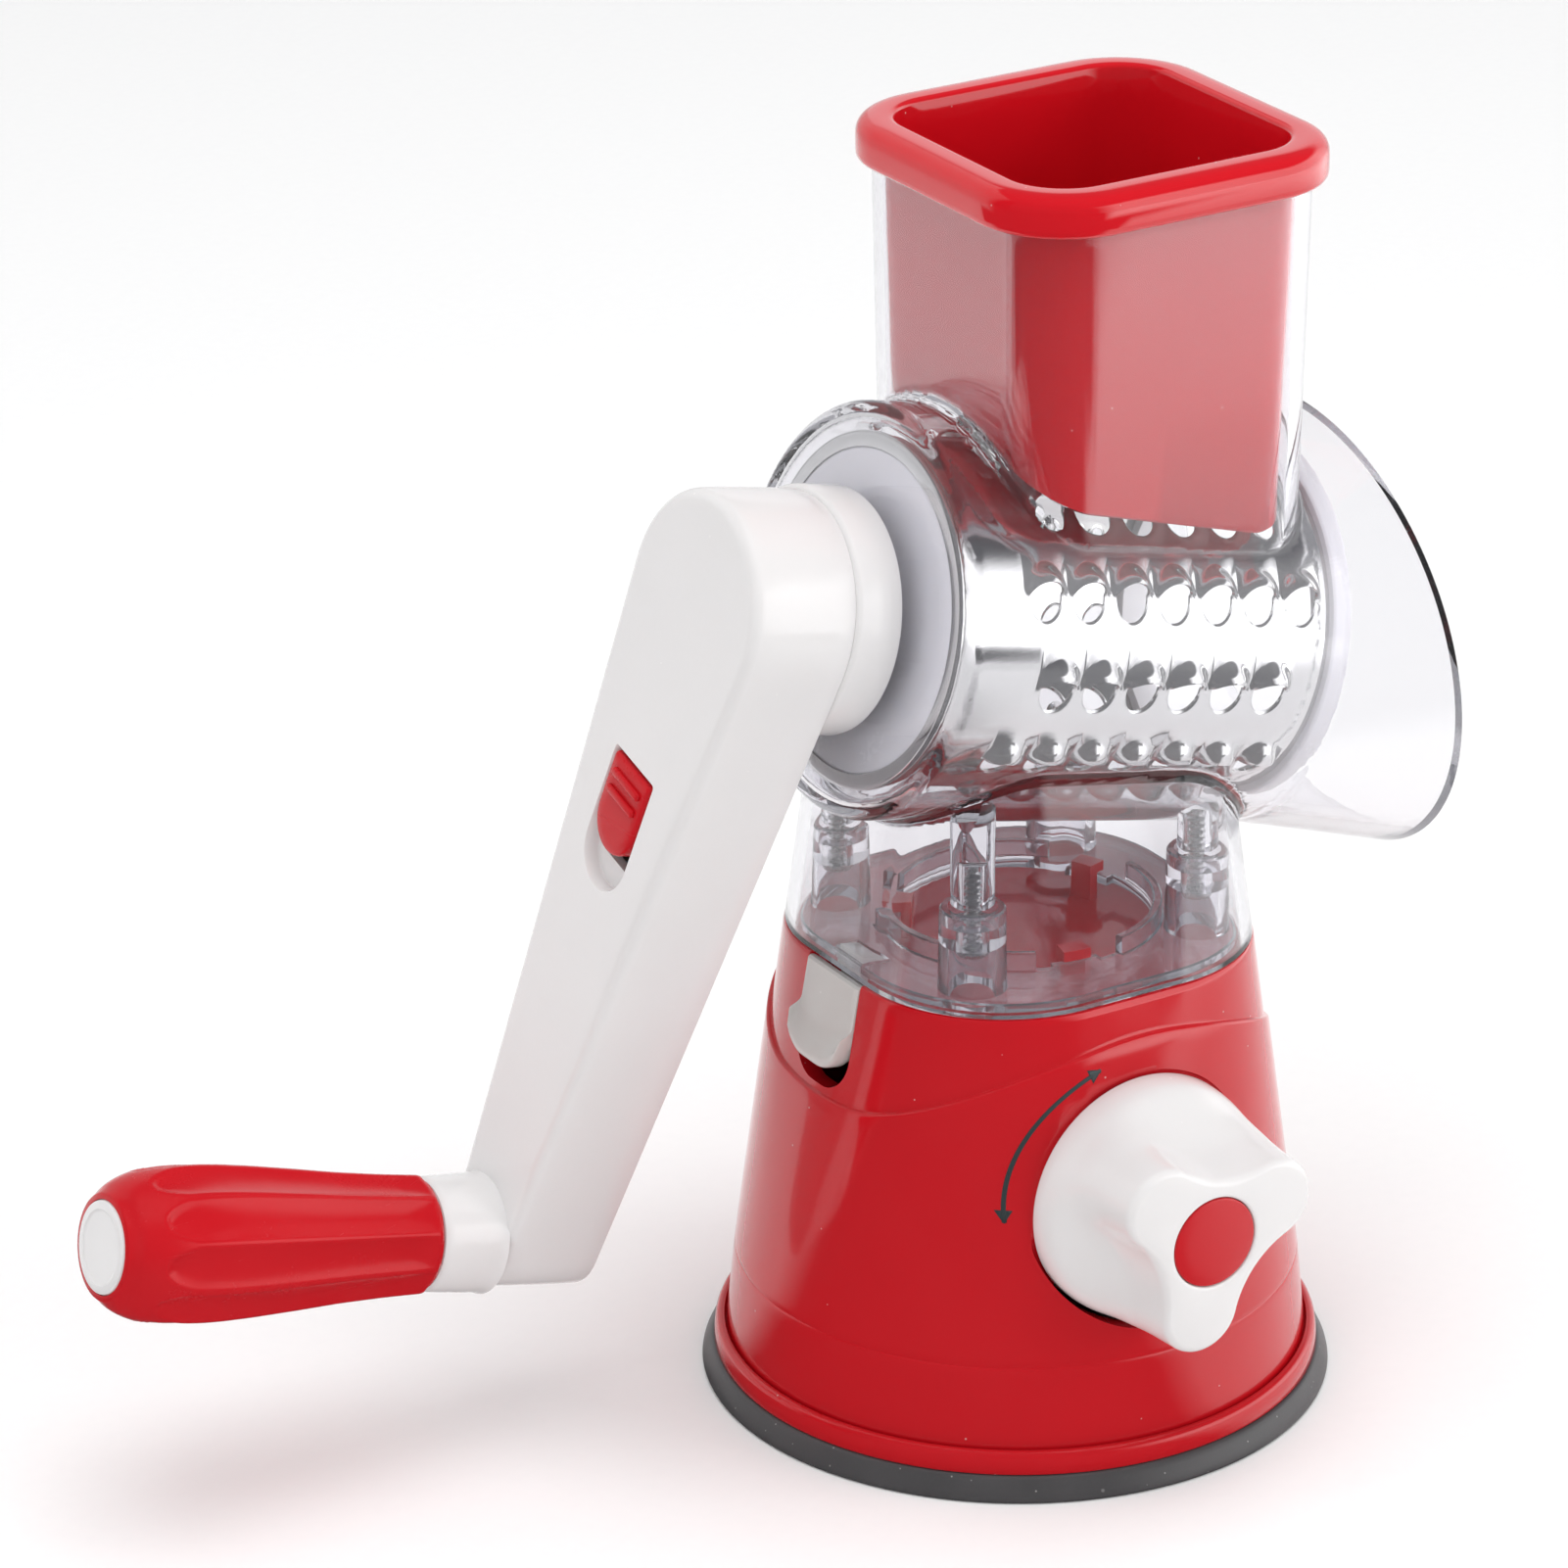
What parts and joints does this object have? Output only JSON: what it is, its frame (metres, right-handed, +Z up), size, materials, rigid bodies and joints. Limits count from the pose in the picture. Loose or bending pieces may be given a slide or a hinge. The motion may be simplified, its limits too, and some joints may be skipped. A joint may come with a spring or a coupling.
{
  "type": "hand cranked rotary vegetable shredder",
  "caption": "Table-top rotary shredder: clear square feed tube and drum housing on a tapered red suction base, perforated steel drum, side crank, three-lobed knob and square pusher.",
  "frame": {"origin": "centre of the suction foot, in the table plane", "axes": "+Z up, +X towards the outlet, away from the crank, -Y towards the suction knob"},
  "size_m": [0.273, 0.1398, 0.2648],
  "materials": {
    "black_rubber": "satin",
    "red_plastic": "gloss",
    "red_grip": "gloss",
    "red_button": "gloss",
    "red_pusher": "gloss",
    "white_plastic": "gloss",
    "white_knob": "gloss",
    "white_hub": "satin",
    "grey_latch": "satin",
    "clear_plastic": "clear",
    "drum_steel": "polished",
    "zinc_steel": "satin",
    "inner_plastic": "matte"
  },
  "bodies": {
    "base": {"suction_cup": "black_rubber", "cup_retainer": "inner_plastic", "base_screws": "zinc_steel", "base_shell": "red_plastic", "body_plate": "clear_plastic", "clear_body": "clear_plastic", "body_screws": "zinc_steel", "latch_spring": "zinc_steel"},
    "knob": {"cam_shaft": "white_hub", "knob": "white_knob", "knob_screw": "zinc_steel", "knob_cap": "red_button"},
    "lift": {"pull_rod": "inner_plastic"},
    "latch": {"latch": "grey_latch"},
    "pusher": {"pusher": "red_pusher"},
    "crank": {"drum_shell": "drum_steel", "drum_hub": "white_hub", "drum_ring": "white_hub", "drive_shaft": "white_hub", "crank_arm": "white_plastic", "arm_cover": "white_plastic", "arm_screws": "zinc_steel", "grip_spindle": "zinc_steel", "grip_screw": "zinc_steel", "release_spring": "zinc_steel"},
    "release": {"release_button": "red_button", "release_bolt": "inner_plastic"},
    "grip": {"grip": "red_grip", "grip_cap": "white_plastic"}
  },
  "joints": [
    {"name": "crank_turn", "type": "hinge", "parent": "base", "child": "crank", "pos_m": [0, 0, 0.1658], "axis": [0.9744, 0, -0.225], "continuous": true},
    {"name": "grip_spin", "type": "hinge", "parent": "crank", "child": "grip", "pos_m": [-0.14936, 0.03329, 0.05228], "axis": [0.9744, 0, -0.225], "continuous": true},
    {"name": "release_slide", "type": "slide", "parent": "crank", "child": "release", "axis": [-0.2192, 0.225, -0.9494], "range_m": [0, 0.0065], "stiffness_N_per_m": 300, "springref_m": -0.003, "deforming": ["release_spring"]},
    {"name": "pusher_lift", "type": "slide", "parent": "base", "child": "pusher", "axis": [0, 0, 1], "range_m": [0, 0.045]},
    {"name": "knob_turn", "type": "hinge", "parent": "base", "child": "knob", "pos_m": [-0.002, 0, 0.0585], "axis": [0, 1, 0], "range_deg": [0, 85]},
    {"name": "cup_lift", "type": "slide", "parent": "base", "child": "lift", "axis": [0, 0, 1], "range_m": [0, 0.0041], "deforming": ["suction_cup"]},
    {"name": "latch_slide", "type": "slide", "parent": "base", "child": "latch", "axis": [-0.1891, 0, -0.982], "range_m": [0, 0.0035], "stiffness_N_per_m": 500, "springref_m": -0.002, "deforming": ["latch_spring"]}
  ],
  "couplings": [
    {"joint": "cup_lift", "follows": "knob_turn", "m_per_rad": 0.0027325}
  ]
}
